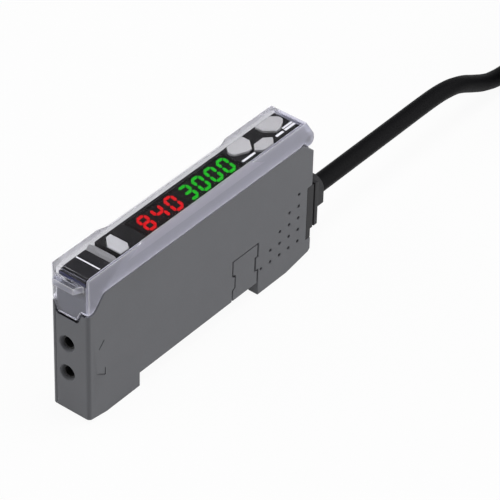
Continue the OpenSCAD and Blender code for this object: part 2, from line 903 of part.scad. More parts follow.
// One key: cap, ears under the plate and stem onto the switch plunger
module key(which) {
    stem_z = board_z + switch_h + key_travel + 0.1;
    color(pale_grey)
        in_frame() {
            at_key(which) {
                translate([0, 0, plate_z - 0.1])
                    linear_extrude(height = bezel_t + proud + 0.1)
                        key_plan(which, 0);
                key_ears(which);
            }
            at_switch(which)
                translate([0, 0, stem_z])
                    cylinder(d = plunger_d + 0.6, h = plate_z - stem_z);
        }
}

// Left arrow key
module left_key() {
    key("left");
}

// Right arrow key
module right_key() {
    key("right");
}

// Set key
module set_key() {
    key("set");
}

// Body of one tactile switch, with the bore of its plunger
module tact_switch(which) {
    color(metal)
        in_frame()
            at_switch(which)
                translate([0, 0, board_z])
                    difference() {
                        block([-switch_w / 2, -switch_w / 2, 0], [switch_w / 2, switch_w / 2, switch_h]);
                        translate([0, 0, 0.2])
                            cylinder(d = plunger_d + 0.1, h = switch_h);
                    }
}

// Switch under the left arrow key
module left_switch() {
    tact_switch("left");
}

// Switch under the right arrow key
module right_switch() {
    tact_switch("right");
}

// Switch under the set key
module set_switch() {
    tact_switch("set");
}

// Plunger of one tactile switch, pushed down by its key
module plunger(which) {
    top = board_z + switch_h + key_travel + 0.1;
    color(black)
        in_frame()
            at_switch(which)
                translate([0, 0, board_z + 0.25 + key_travel])
                    cylinder(d = plunger_d, h = top - board_z - 0.25 - key_travel);
}

// Plunger of the left switch
module left_plunger() {
    plunger("left");
}

// Plunger of the right switch
module right_plunger() {
    plunger("right");
}

// Plunger of the set switch
module set_plunger() {
    plunger("set");
}

// Display board inside the bezel
module display_board() {
    color(board_green)
        in_frame()
            block([bezel_x0 + bezel_wall + 0.1, -bezel_in + 0.1, board_z - board_t],
                [bezel_x1 - bezel_wall - 0.1, bezel_in - 0.1, board_z]);
}

// Main board on edge between the side walls, cut away over the rail clip
module main_board() {
    color(board_green)
        in_frame()
            difference() {
                block([main_x0, main_y, floor_z + 0.3], [main_x1, main_y + board_t, main_top]);
                block([clip_x0 - 0.8, main_y - cut, 0],
                    [clip_x1 + 1.6, main_y + board_t + cut, foot_h + clip_h + 0.5]);
            }
}

// Header that joins main board and display board
module board_header() {
    mid = (window_x0 + window_x1) / 2;
    color(black)
        in_frame()
            block([mid - header_l / 2, main_y - header_t, main_top - header_t],
                [mid + header_l / 2, main_y, board_z - board_t]);
}

// Controller chip and driver chip on the main board
module board_chips() {
    low = (floor_z + main_top - chip_side) / 2;
    color(black)
        in_frame()
            for (i = [0, 1])
                translate([main_x0 + chip_side + i * chip_pitch, main_y - chip_h, low])
                    cube([chip_side, chip_h, chip_side]);
}

// Emitter or receiver package, set into the fibre holder
module diode(z) {
    long_bar(port_y, z, diode_d, holder_x1 - diode_seat, holder_x1 + 0.6);
    long_bar(port_y, z, diode_d + 0.6, holder_x1, diode_x1);
}

// Emitter LED behind the upper port
module emitter_led() {
    color(pale_grey)
        in_frame()
            diode(port_z + port_pitch);
}

// Receiver diode behind the lower port
module receiver_diode() {
    color(dark_grey)
        in_frame()
            diode(port_z);
}

// Fibre holder behind the front wall, with a sleeve, a guide bore and a diode seat for each fibre
module fibre_holder() {
    fit = 0.05;
    color(black)
        in_frame()
            difference() {
                union() {
                    block([front_wall, -inner_half, holder_z0], [holder_x1, inner_half, holder_z1]);
                    for (z = [port_z, port_z + port_pitch])
                        long_bar(port_y, z, sleeve_d, port_sink, front_wall + cut);
                }
                for (z = [port_z, port_z + port_pitch]) {
                    long_bar(port_y, z, fibre_bore, port_sink - cut, holder_x1 + cut);
                    long_bar(port_y, z, diode_d + 2 * fit, holder_x1 - diode_seat, holder_x1 + cut);
                }
            }
}

// Clamp bar that the lever presses on the fibres
module fibre_clamp() {
    color(pale_grey)
        in_frame()
            block([pivot_x - 1, -clamp_half, holder_z1],
                [pivot_x + 1, clamp_half, lever_top - lever_t - 1.3]);
}

// Rail clip: notched block in the walls, with a leg that ends in the second rail hook
module rail_clip() {
    leg_x1 = foot2_x + 1.3;
    leg_z = 0.3;
    color(grey)
        in_frame() {
            intersection() {
                side_slab(-half + 0.05, half - 0.05)
                    clip_outline(0);
                block([0, -half, foot_h], [case_l, half, top_z]);
            }
            block([clip_x1 - 0.5, -hook_w / 2, foot_h + 0.1], [leg_x1, hook_w / 2, floor_z]);
            block([foot2_x + 0.2, -hook_w / 2, leg_z], [leg_x1, hook_w / 2, floor_z]);
            block([foot2_x - hook_reach, -hook_w / 2, leg_z], [leg_x1, hook_w / 2, leg_z + hook_h]);
        }
}

// Moulded cable bush: flange inside the case, plug in its notch, grooved block and round boss
module cable_bush() {
    flank = half - 0.1;
    inner_x = case_l - rear_wall - bush_gap;
    block_z0 = cable_z - bush_low;
    block_z1 = cable_z + bush_high;
    groove = 0.6;
    boss_z = cable_z + 0.9;
    color(dark_grey)
        in_frame() {
            block([inner_x - 1.1, -inner_half + bush_gap, notch_z0 + bush_gap],
                [inner_x, inner_half - bush_gap, notch_z1 + 1]);
            block([inner_x - 0.1, -inner_half + bush_gap, notch_z0 + bush_gap],
                [case_l, inner_half - bush_gap, notch_z1 - bush_gap]);
            block([notch_x + bush_gap, -flank, notch_z0 + bush_gap], [case_l, flank, notch_z1 - bush_gap]);
            block([case_l - 0.1, -flank, block_z0], [case_l + 0.7, flank, block_z1]);
            block([case_l, -flank + groove, block_z0 + groove],
                [bush_x1, flank - groove, block_z1 - groove]);
            block([case_l + 1.1, -flank, block_z0], [bush_x1, flank, block_z1]);
            long_bar(0, boss_z, 2 * boss_r, bush_x1 - 0.1, boss_x1);
            block([bush_x1 - 0.1, -boss_r, cable_z - 2.4], [boss_x1, boss_r, boss_z]);
        }
}

// A tube along a list of points, as one closed solid
module tube(points, d, sides) {
    count = len(points);
    last = count - 1;
    rings = [
        for (i = [0 : last])
            let (along = points[min(i + 1, last)] - points[max(i - 1, 0)], t = along / norm(along),
                side = cross([0, 0, 1], t), u = side / norm(side), v = cross(t, u))
                for (k = [0 : sides - 1])
                    let (a = 360 * k / sides) points[i] + (u * cos(a) + v * sin(a)) * d / 2
    ];
    walls = [
        for (i = [0 : last - 1])
            for (k = [0 : sides - 1])
                let (a = i * sides + k, b = i * sides + (k + 1) % sides)
                    for (face = [[a, a + sides, b + sides], [a, b + sides, b]]) face
    ];
    ends = [[for (k = [0 : sides - 1]) k], [for (k = [sides - 1 : -1 : 0]) last * sides + k]];
    polyhedron(points = rings, faces = concat(walls, ends));
}

// Cable from the bush to the hank
module cable() {
    color(black)
        tube(concat([[boss_x1 - mid_x, 0, cable_z]], cable_points), cable_d, cable_sides);
}

// Outline of the hank, a run with round ends
module hank_plan(r) {
    translate([-hank_run / 2, -r])
        square([hank_run, 2 * r]);
    for (side = [-1, 1])
        translate([side * hank_run / 2, 0])
            circle(r = r);
}

// Stored length of the cable, folded into a flat hank
module cable_hank() {
    far_run = hank_y - hank_fold;
    color(black)
        difference() {
            translate([hank_x, hank_y, hank_z])
                linear_extrude(height = hank_h)
                    difference() {
                        hank_plan(hank_outer);
                        hank_plan(hank_inner);
                    }
            block([lead_x - lead_l, far_run - cable_d / 2 - cut, hank_z + hank_h - cable_d],
                [lead_x, far_run + cable_d / 2 + cut, hank_z + hank_h + cut]);
        }
}

// Tie round the near run of the hank
module cable_tie() {
    inner_y0 = hank_y + hank_inner - tie_gap;
    inner_y1 = hank_y + hank_outer + tie_gap;
    top = hank_z + hank_h + tie_gap;
    color(dark_grey)
        difference() {
            block([hank_x - tie_w / 2, inner_y0 - tie_t, 0],
                [hank_x + tie_w / 2, inner_y1 + tie_t, top + tie_t]);
            block([hank_x - tie_w, inner_y0, tie_t], [hank_x + tie_w, inner_y1, top]);
        }
}

// Four bare leads at the cable's free end, lying on the hank
module cable_leads() {
    far_run = hank_y - hank_fold;
    rest_z = hank_z + hank_h - cable_d + tie_gap;
    color(metal)
        for (i = [0 : 3])
            long_bar(far_run + (i - 1.5) * lead_pitch, rest_z + lead_d / 2, lead_d,
                lead_x - lead_l + 0.5, lead_x);
}

case_body();
side_cover();
clear_cover();
lock_lever();
label_plate();
display_bezel();
display_window();
red_display();
green_display();
red_digits();
green_digits();
indicator_lens();
indicator_led();
left_key();
right_key();
set_key();
left_switch();
right_switch();
set_switch();
left_plunger();
right_plunger();
set_plunger();
display_board();
main_board();
board_header();
board_chips();
emitter_led();
receiver_diode();
fibre_holder();
fibre_clamp();
rail_clip();
cable_bush();
cable();
cable_hank();
cable_tie();
cable_leads();
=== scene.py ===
"""Looks of a slim rail-mounted fibre optic sensor amplifier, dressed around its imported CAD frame.

Lengths are metres in the CAD frame: +X towards the cable, +Z up, -Y the side with the grip dimples.
"""

import json
import logging
import math
from dataclasses import dataclass, field
from enum import Enum
from typing import Any, Sequence

import bmesh
import bpy
from mathutils import Matrix, Vector
from mathutils.geometry import intersect_point_line

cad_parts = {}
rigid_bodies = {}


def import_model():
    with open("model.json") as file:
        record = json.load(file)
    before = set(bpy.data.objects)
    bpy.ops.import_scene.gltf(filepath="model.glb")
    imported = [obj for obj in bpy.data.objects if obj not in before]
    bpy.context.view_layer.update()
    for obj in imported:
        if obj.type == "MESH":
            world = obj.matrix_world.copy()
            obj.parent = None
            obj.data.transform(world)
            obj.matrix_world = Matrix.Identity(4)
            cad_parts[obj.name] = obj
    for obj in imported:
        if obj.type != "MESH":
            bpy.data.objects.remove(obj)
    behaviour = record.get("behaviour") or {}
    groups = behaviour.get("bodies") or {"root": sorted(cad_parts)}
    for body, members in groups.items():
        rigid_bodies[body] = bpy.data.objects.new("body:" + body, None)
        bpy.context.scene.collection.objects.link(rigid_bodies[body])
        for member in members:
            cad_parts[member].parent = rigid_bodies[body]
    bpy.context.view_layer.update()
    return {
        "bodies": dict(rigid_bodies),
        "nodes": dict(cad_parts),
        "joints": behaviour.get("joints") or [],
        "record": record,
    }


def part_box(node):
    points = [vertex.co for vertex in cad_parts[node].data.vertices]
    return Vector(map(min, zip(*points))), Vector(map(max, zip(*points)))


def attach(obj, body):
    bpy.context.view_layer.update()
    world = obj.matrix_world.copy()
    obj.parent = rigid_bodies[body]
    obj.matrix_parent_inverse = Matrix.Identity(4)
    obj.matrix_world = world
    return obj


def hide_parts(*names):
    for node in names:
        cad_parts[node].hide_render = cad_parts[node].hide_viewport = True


LOG = logging.getLogger("amplifier")
MM = 0.001
Colour = tuple[float, float, float]
Point = tuple[float, float, float]


def srgb(red: int, green: int, blue: int) -> Colour:
    """Turn a screen colour into the linear one that a shader takes.

    Args:
        red: Red, 0 to 255.
        green: Green, 0 to 255.
        blue: Blue, 0 to 255.

    Returns:
        The linear colour.
    """
    def linear(value: int) -> float:
        """Linear value of one channel."""
        share = value / 255
        return share / 12.92 if share <= 0.04045 else ((share + 0.055) / 1.055) ** 2.4

    return linear(red), linear(green), linear(blue)


class Body(str, Enum):
    """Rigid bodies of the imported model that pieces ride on."""

    AMPLIFIER = "amplifier"
    COVER = "cover"
    LEVER = "lever"
    LEFT_BUTTON = "left_button"
    RIGHT_BUTTON = "right_button"
    SET_BUTTON = "set_button"


class NodeKit:
    """Shader node groups that several finishes share, each built once."""

    grain_detail: float = 3.0
    flow_scale: float = 140.0
    flow_detail: float = 2.0
    patch_scale: float = 260.0
    patch_detail: float = 4.0
    noise_low: float = 0.25
    noise_high: float = 0.75
    _groups: dict[str, bpy.types.NodeTree] = {}

    @classmethod
    def mould_grain(cls) -> bpy.types.NodeTree:
        """Fine eroded grain with broad flow mottling, as on moulded plastic.

        Returns:
            The node group, with colour, roughness and height outputs.
        """
        name = "mould_grain"
        if name in cls._groups:
            return cls._groups[name]
        tree = cls._start(
            name,
            {"Colour": "NodeSocketColor", "Mottle": "NodeSocketFloat", "Grain Scale": "NodeSocketFloat",
             "Roughness": "NodeSocketFloat", "Roughness Spread": "NodeSocketFloat"},
            {"Colour": "NodeSocketColor", "Roughness": "NodeSocketFloat", "Height": "NodeSocketFloat"})
        nodes, links = tree.nodes, tree.links
        ends = nodes["Group Input"].outputs, nodes["Group Output"].inputs
        place = nodes.new("ShaderNodeTexCoord").outputs["Object"]
        grain = cls._noise(tree, place, detail=cls.grain_detail)
        links.new(ends[0]["Grain Scale"], grain.inputs["Scale"])
        flow = cls._noise(tree, place, scale=cls.flow_scale, detail=cls.flow_detail)
        swing = cls._around(tree, flow.outputs["Fac"], 1.0, ends[0]["Mottle"])
        tint = nodes.new("ShaderNodeMix")
        tint.data_type = "RGBA"
        tint.blend_type = "MULTIPLY"
        tint.inputs["Factor"].default_value = 1.0
        links.new(ends[0]["Colour"], tint.inputs["A"])
        links.new(swing, tint.inputs["B"])
        rough = cls._around(tree, grain.outputs["Fac"], ends[0]["Roughness"], ends[0]["Roughness Spread"])
        links.new(tint.outputs["Result"], ends[1]["Colour"])
        links.new(rough, ends[1]["Roughness"])
        links.new(grain.outputs["Fac"], ends[1]["Height"])
        return tree

    @classmethod
    def handling_haze(cls) -> bpy.types.NodeTree:
        """Patches of faint haze that fingers leave on smooth plastic.

        Returns:
            The node group, with a roughness output.
        """
        name = "handling_haze"
        if name in cls._groups:
            return cls._groups[name]
        tree = cls._start(name, {"Roughness": "NodeSocketFloat", "Haze": "NodeSocketFloat"},
                          {"Roughness": "NodeSocketFloat"})
        ends = tree.nodes["Group Input"].outputs, tree.nodes["Group Output"].inputs
        place = tree.nodes.new("ShaderNodeTexCoord").outputs["Object"]
        patch = cls._noise(tree, place, scale=cls.patch_scale, detail=cls.patch_detail)
        rough = cls._around(tree, patch.outputs["Fac"], ends[0]["Roughness"], ends[0]["Haze"])
        tree.links.new(rough, ends[1]["Roughness"])
        return tree

    @classmethod
    def _start(cls, name: str, inputs: dict[str, str], outputs: dict[str, str]) -> bpy.types.NodeTree:
        """Make an empty group with its sockets.

        Args:
            name: Name of the group.
            inputs: Socket types by input name.
            outputs: Socket types by output name.

        Returns:
            The new group.
        """
        tree = bpy.data.node_groups.new(name, "ShaderNodeTree")
        for sockets, way in ((inputs, "INPUT"), (outputs, "OUTPUT")):
            for label, kind in sockets.items():
                tree.interface.new_socket(label, in_out=way, socket_type=kind)
        tree.nodes.new("NodeGroupInput")
        tree.nodes.new("NodeGroupOutput")
        cls._groups[name] = tree
        return tree

    @staticmethod
    def _noise(tree: bpy.types.NodeTree, place: Any, detail: float, scale: float = 1.0) -> Any:
        """Add a noise texture.

        Args:
            tree: Group that gets the texture.
            place: Socket with the coordinates.
            detail: Number of octaves.
            scale: Noise scale, in cells per metre, where no socket gives it.

        Returns:
            The noise node.
        """
        noise = tree.nodes.new("ShaderNodeTexNoise")
        noise.inputs["Scale"].default_value = scale
        noise.inputs["Detail"].default_value = detail
        tree.links.new(place, noise.inputs["Vector"])
        return noise

    @classmethod
    def _around(cls, tree: bpy.types.NodeTree, pattern: Any, middle: Any, swing: Any) -> Any:
        """Turn a noise pattern into a value that swings round a middle.

        Args:
            tree: Group that gets the nodes.
            pattern: Socket with the pattern.
            middle: Middle value, a number or a socket.
            swing: Socket with half the swing.

        Returns:
            The socket with the result.
        """
        centred = tree.nodes.new("ShaderNodeMapRange")
        centred.inputs["From Min"].default_value = cls.noise_low
        centred.inputs["From Max"].default_value = cls.noise_high
        centred.inputs["To Min"].default_value = -1.0
        tree.links.new(pattern, centred.inputs["Value"])
        total = tree.nodes.new("ShaderNodeMath")
        total.operation = "MULTIPLY_ADD"
        tree.links.new(centred.outputs["Result"], total.inputs[0])
        tree.links.new(swing, total.inputs[1])
        if isinstance(middle, float):
            total.inputs[2].default_value = middle
        else:
            tree.links.new(middle, total.inputs[2])
        return total.outputs["Value"]


@dataclass(frozen=True)
class Finish:
    """A moulded plastic, rubber or lacquer surface."""

    name: str
    slot: str
    colour: Colour
    roughness: float = 0.5
    spread: float = 0.06
    mottle: float = 0.03
    grain_scale: float = 5000.0
    grain_depth: float = 0.25
    grain_height: float = 0.02 * MM
    metallic: float = 0.0
    specular: float = 0.5

    def material(self) -> bpy.types.Material:
        """Build the material, or give the one that is there.

        Returns:
            The material of this finish.
        """
        known = bpy.data.materials.get(self.name)
        if known is not None:
            return known
        made = bpy.data.materials.new(self.name)
        made.use_nodes = True
        made.diffuse_color = (*self.colour, 1.0)
        self._wire(made.node_tree, made.node_tree.nodes["Principled BSDF"])
        return made

    def _wire(self, tree: bpy.types.NodeTree, shader: Any) -> None:
        """Wire the surface's nodes.

        Args:
            tree: Node tree of the material.
            shader: Its Principled shader.
        """
        grain = self._grain(tree)
        tree.links.new(grain.outputs["Colour"], shader.inputs["Base Color"])
        tree.links.new(grain.outputs["Roughness"], shader.inputs["Roughness"])
        bump = tree.nodes.new("ShaderNodeBump")
        bump.inputs["Strength"].default_value = self.grain_depth
        bump.inputs["Distance"].default_value = self.grain_height
        tree.links.new(grain.outputs["Height"], bump.inputs["Height"])
        tree.links.new(bump.outputs["Normal"], shader.inputs["Normal"])
        shader.inputs["Metallic"].default_value = self.metallic
        shader.inputs["Specular IOR Level"].default_value = self.specular

    def _grain(self, tree: bpy.types.NodeTree) -> Any:
        """Add the mould grain group with this finish's values.

        Args:
            tree: Node tree of the material.

        Returns:
            The group node.
        """
        grain = tree.nodes.new("ShaderNodeGroup")
        grain.node_tree = NodeKit.mould_grain()
        grain.inputs["Colour"].default_value = (*self.colour, 1.0)
        grain.inputs["Mottle"].default_value = self.mottle
        grain.inputs["Grain Scale"].default_value = self.grain_scale
        grain.inputs["Roughness"].default_value = self.roughness
        grain.inputs["Roughness Spread"].default_value = self.spread
        return grain


@dataclass(frozen=True)
class ClearFinish(Finish):
    """A see-through plastic that lets the lamps reach what is under it."""

    ior: float = 1.45
    haze: float = 0.01
    transmission: float = 1.0

    def _wire(self, tree: bpy.types.NodeTree, shader: Any) -> None:
        """Wire clear plastic, with a clear stand-in for shadow rays.

        Args:
            tree: Node tree of the material.
            shader: Its Principled shader.
        """
        shader.inputs["Base Color"].default_value = (*self.colour, 1.0)
        shader.inputs["Transmission Weight"].default_value = self.transmission
        shader.inputs["IOR"].default_value = self.ior
        shader.inputs["Specular IOR Level"].default_value = self.specular
        haze = tree.nodes.new("ShaderNodeGroup")
        haze.node_tree = NodeKit.handling_haze()
        haze.inputs["Roughness"].default_value = self.roughness
        haze.inputs["Haze"].default_value = self.haze
        tree.links.new(haze.outputs["Roughness"], shader.inputs["Roughness"])
        path = tree.nodes.new("ShaderNodeLightPath")
        through = tree.nodes.new("ShaderNodeBsdfTransparent")
        through.inputs["Color"].default_value = (*self.colour, 1.0)
        blend = tree.nodes.new("ShaderNodeMixShader")
        tree.links.new(path.outputs["Is Shadow Ray"], blend.inputs["Fac"])
        tree.links.new(shader.outputs["BSDF"], blend.inputs[1])
        tree.links.new(through.outputs["BSDF"], blend.inputs[2])
        tree.links.new(blend.outputs["Shader"], tree.nodes["Material Output"].inputs["Surface"])


@dataclass(frozen=True)
class LitFinish(Finish):
    """The face of a lit light-emitting diode."""

    strength: float = 1.0

    def _wire(self, tree: bpy.types.NodeTree, shader: Any) -> None:
        """Wire the glow over the plain surface.

        Args:
            tree: Node tree of the material.
            shader: Its Principled shader.
        """
        super()._wire(tree, shader)
        glow = self._grain(tree)
        tree.links.new(glow.outputs["Colour"], shader.inputs["Emission Color"])
        shader.inputs["Emission Strength"].default_value = self.strength


class Finishes:
    """Every finish on the amplifier."""

    CASE = Finish("case_grey_abs", "case_grey", srgb(105, 106, 110), roughness=0.55, grain_depth=0.35,
                  specular=0.35)
    LEVER = Finish("lever_grey_abs", "case_grey", srgb(124, 124, 124), roughness=0.5)
    COVER = (
        ClearFinish("cover_clear_top", "clear", srgb(248, 248, 251), roughness=0.012, specular=0.3),
        ClearFinish("cover_satin_wall", "clear", srgb(196, 196, 209), roughness=0.35, haze=0.06,
                    transmission=0.62),
        # painted highlight: the near wall's sloping upper strip is tinted lighter than the rest of the wall,
        # standing in for the light it catches
        ClearFinish("cover_bevel_painted_highlight", "clear", srgb(216, 214, 227), roughness=0.36, haze=0.06,
                    transmission=0.62),
        # painted highlight: the rounded edges and the downward faces are tinted near white, standing in for
        # the light that the cover's edges catch
        ClearFinish("cover_edge_painted_highlight", "clear", srgb(240, 239, 245), roughness=0.25, haze=0.04,
                    transmission=0.35),
        # painted light: both faces of the far wall are tinted near white, standing in for light that comes
        # through the wall from behind
        ClearFinish("cover_far_wall_painted_light", "clear", srgb(250, 250, 252), roughness=0.08, haze=0.03),
        ClearFinish("cover_far_outside_painted_light", "clear", srgb(250, 250, 252), roughness=0.2, haze=0.04,
                    transmission=0.7),
        ClearFinish("cover_front_wall", "clear", srgb(214, 215, 225), roughness=0.1, haze=0.04,
                    transmission=0.97),
        ClearFinish("cover_front_rim", "clear", srgb(248, 248, 251), roughness=0.012, ior=1.15),
        # painted shade: the skirt at the near front corner is tinted darker than the rest of the wall
        ClearFinish("cover_skirt_painted_shade", "clear", srgb(186, 186, 199), roughness=0.35, haze=0.06,
                    transmission=0.76),
    )
    LABEL = Finish("label_black_film", "black_gloss", srgb(22, 21, 24), roughness=0.45, grain_depth=0.05,
                   specular=0.2)
    LABEL_EDGE = Finish("label_blue_edge", "black_gloss", srgb(16, 23, 66), roughness=0.35, grain_depth=0.05)
    BEZEL = Finish("bezel_black_abs", "black_gloss", srgb(20, 19, 20), roughness=0.45, grain_depth=0.1,
                   specular=0.2)
    WINDOW = ClearFinish("window_smoked_acrylic", "smoked", srgb(188, 178, 180), roughness=0.012)
    MODULE = Finish("module_black_epoxy", "black_gloss", srgb(14, 14, 14), roughness=0.6, grain_depth=0.1)
    RED = LitFinish("digit_red", "red_light", srgb(222, 8, 18), strength=1.7, grain_depth=0.0)
    GREEN = LitFinish("digit_green", "green_light", srgb(20, 205, 30), strength=1.7, grain_depth=0.0)
    KEY = Finish("key_pale_abs", "pale_plastic", srgb(170, 169, 168), roughness=0.42, grain_depth=0.15)
    LENS = Finish("lens_milky_abs", "pale_plastic", srgb(178, 178, 178), roughness=0.3, grain_depth=0.05)
    PRINT = Finish("print_white", "pale_plastic", srgb(225, 225, 226), roughness=0.5, grain_depth=0.05)
    BLACK = Finish("black_nylon", "black_plastic", srgb(26, 26, 27), roughness=0.6)
    STEEL = Finish("switch_steel", "metal", srgb(190, 190, 188), roughness=0.3, metallic=1.0)
    COPPER = Finish("lead_copper", "copper", srgb(200, 140, 90), roughness=0.3, metallic=1.0)
    BOARD = Finish("board_green_mask", "board", srgb(28, 92, 52), roughness=0.35, grain_depth=0.1)
    BUSH = Finish("bush_dark_rubber", "bush_rubber", srgb(48, 48, 50), roughness=0.65, grain_depth=0.3,
                  specular=0.3)
    CABLE = Finish("cable_black_pvc", "cable_black", srgb(14, 14, 16), roughness=0.6, grain_depth=0.2,
                   grain_scale=2500.0, specular=0.08)
    TIE = Finish("tie_black_nylon", "tie", srgb(24, 24, 25), roughness=0.5)
    CORES = (
        Finish("core_brown", "cable_black", srgb(105, 62, 40), roughness=0.4),
        Finish("core_blue", "cable_black", srgb(40, 80, 160), roughness=0.4),
        Finish("core_black", "cable_black", srgb(24, 24, 25), roughness=0.4),
        Finish("core_white", "cable_black", srgb(215, 215, 212), roughness=0.4),
    )


class MeshKit:
    """Mesh operations that the sub-assemblies share."""

    frame: dict[str, Any] = {}
    merge_reach: float = 0.0005 * MM
    flat_angle: float = 0.5
    sharp_angle: float = 30.0
    fold_angle: float = 160.0
    fold_reach: float = 1.6
    rounding_tries: int = 8

    @classmethod
    def piece(cls, name: str, bm: bmesh.types.BMesh, finish: Finish, body: Body,
              replaces: Sequence[str] = (), crease: float = 38.0) -> bpy.types.Object:
        """Turn a bmesh into a finished piece that rides on a body.

        Args:
            name: Name of the piece.
            bm: Its mesh, which is freed.
            finish: Its finish.
            body: Body that it rides on.
            replaces: CAD nodes that it stands for.
            crease: Angle in degrees above which an edge stays sharp.

        Returns:
            The new object.
        """
        mesh = bpy.data.meshes.new(name)
        bm.to_mesh(mesh)
        bm.free()
        mesh.polygons.foreach_set("use_smooth", [True] * len(mesh.polygons))
        mesh.set_sharp_from_angle(angle=math.radians(crease))
        mesh.materials.append(finish.material())
        made = bpy.data.objects.new(name, mesh)
        bpy.context.scene.collection.objects.link(made)
        weights = made.modifiers.new("even_normals", "WEIGHTED_NORMAL")
        weights.keep_sharp = True
        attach(made, body.value)
        if replaces:
            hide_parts(*replaces)
        LOG.info("piece %s on %s, %d faces", name, body.value, len(mesh.polygons))
        return made

    @classmethod
    def node_copy(cls, node: str) -> bmesh.types.BMesh:
        """Copy a CAD node's mesh, with its loose triangles merged into whole faces.

        Args:
            node: Name of the node.

        Returns:
            The merged copy.
        """
        bm = bmesh.new()
        bm.from_mesh(cls.frame["nodes"][node].data)
        bmesh.ops.remove_doubles(bm, verts=bm.verts, dist=cls.merge_reach)
        bmesh.ops.dissolve_limit(bm, angle_limit=math.radians(cls.flat_angle), verts=bm.verts,
                                 edges=bm.edges)
        return bm

    @classmethod
    def soften(cls, bm: bmesh.types.BMesh, width: float, segments: int = 2) -> list[bmesh.types.BMFace]:
        """Round the sharp edges of a mesh, apart from those too cramped to round.

        Args:
            bm: Mesh that is rounded.
            width: Width of the rounding.
            segments: Faces across the rounding.

        Returns:
            The faces of the roundings.
        """
        bm.edges.index_update()
        chosen = cls._bent(bm, cls.sharp_angle)
        for _ in range(cls.rounding_tries):
            trial = bm.copy()
            cls._bevel(trial, chosen, width, segments)
            trial.edges.ensure_lookup_table()
            trial.edges.index_update()
            folds = [(trial.edges[i].verts[0].co + trial.edges[i].verts[1].co) / 2
                     for i in cls._bent(trial, cls.fold_angle)]
            trial.free()
            if not folds:
                break
            bm.edges.ensure_lookup_table()
            chosen = [i for i in chosen if not cls._near(bm.edges[i], folds, cls.fold_reach * width)]
        return cls._bevel(bm, chosen, width, segments)

    @staticmethod
    def _bent(bm: bmesh.types.BMesh, angle: float) -> list[int]:
        """Numbers of the edges whose two faces meet at more than an angle in degrees."""
        limit = math.radians(angle)
        return [e.index for e in bm.edges if len(e.link_faces) == 2 and e.calc_face_angle(0.0) > limit]

    @staticmethod
    def _bevel(bm: bmesh.types.BMesh, chosen: Sequence[int], width: float,
               segments: int) -> list[bmesh.types.BMFace]:
        """Bevel edges with a round profile.

        Args:
            bm: Mesh that is bevelled.
            chosen: Numbers of the edges.
            width: Width of the bevel.
            segments: Faces across the bevel.

        Returns:
            The faces of the bevels.
        """
        bm.edges.ensure_lookup_table()
        made = bmesh.ops.bevel(bm, geom=[bm.edges[i] for i in chosen], offset=width, offset_type="OFFSET",
                               segments=segments, profile=0.5, affect="EDGES", clamp_overlap=False,
                               material=-1)
        return made["faces"]

    @staticmethod
    def _near(edge: bmesh.types.BMEdge, spots: Sequence[Vector], reach: float) -> bool:
        """Tell whether an edge passes close to any of some spots.

        Args:
            edge: The edge.
            spots: The spots.
            reach: Distance that counts as close.

        Returns:
            True where a spot is within the reach.
        """
        start, end = (vert.co for vert in edge.verts)
        for spot in spots:
            share = min(max(intersect_point_line(spot, start, end)[1], 0.0), 1.0)
            if (start.lerp(end, share) - spot).length < reach:
                return True
        return False

    @classmethod
    def softened(cls, node: str, finish: Finish, body: Body, width: float,
                 segments: int = 2) -> bpy.types.Object:
        """Replace a CAD node by a copy with rounded edges.

        Args:
            node: Name of the node.
            finish: Finish of the copy.
            body: Body that it rides on.
            width: Width of the rounding.
            segments: Faces across the rounding.

        Returns:
            The new object.
        """
        bm = cls.node_copy(node)
        cls.soften(bm, width, segments)
        return cls.piece(node + "_moulded", bm, finish, body, [node])

    @classmethod
    def dress(cls, node: str, finish: Finish) -> None:
        """Give a CAD node its finish.

        Args:
            node: Name of the node.
            finish: Its finish.
        """
        slots = cls.frame["nodes"][node].data.materials
        slots.clear()
        slots.append(finish.material())
        LOG.info("node %s in %s", node, finish.name)

    @staticmethod
    def bar(bm: bmesh.types.BMesh, centre: Point, size: Point, turn: float = 0.0, axis: str = "Z") -> None:
        """Add a bar to a mesh.

        Args:
            bm: Mesh that gets the bar.
            centre: Middle of the bar.
            size: Its lengths along X, Y and Z.
            turn: Turn in degrees about its middle.
            axis: Axis of the turn.
        """
        turned = Matrix.Rotation(math.radians(turn), 4, axis) @ Matrix.Diagonal((*size, 1))
        bmesh.ops.create_cube(bm, size=1.0, matrix=Matrix.Translation(centre) @ turned)

    @staticmethod
    def carved(bm: bmesh.types.BMesh, cutter: bmesh.types.BMesh) -> bmesh.types.BMesh:
        """Cut one mesh out of another.

        Args:
            bm: Mesh that is cut, which is freed.
            cutter: Mesh that is cut away, which is freed.

        Returns:
            The cut mesh.
        """
        made = []
        for label, source in (("carve_block", bm), ("carve_tool", cutter)):
            mesh = bpy.data.meshes.new(label)
            source.to_mesh(mesh)
            source.free()
            made.append(bpy.data.objects.new(label, mesh))
            bpy.context.scene.collection.objects.link(made[-1])
        block, tool = made
        cut = block.modifiers.new("carve", "BOOLEAN")
        cut.operation = "DIFFERENCE"
        cut.solver = "EXACT"
        cut.use_self = True
        cut.object = tool
        graph = bpy.context.evaluated_depsgraph_get()
        result = bmesh.new()
        result.from_object(block, graph)
        for item in made:
            bpy.data.objects.remove(item)
        return result


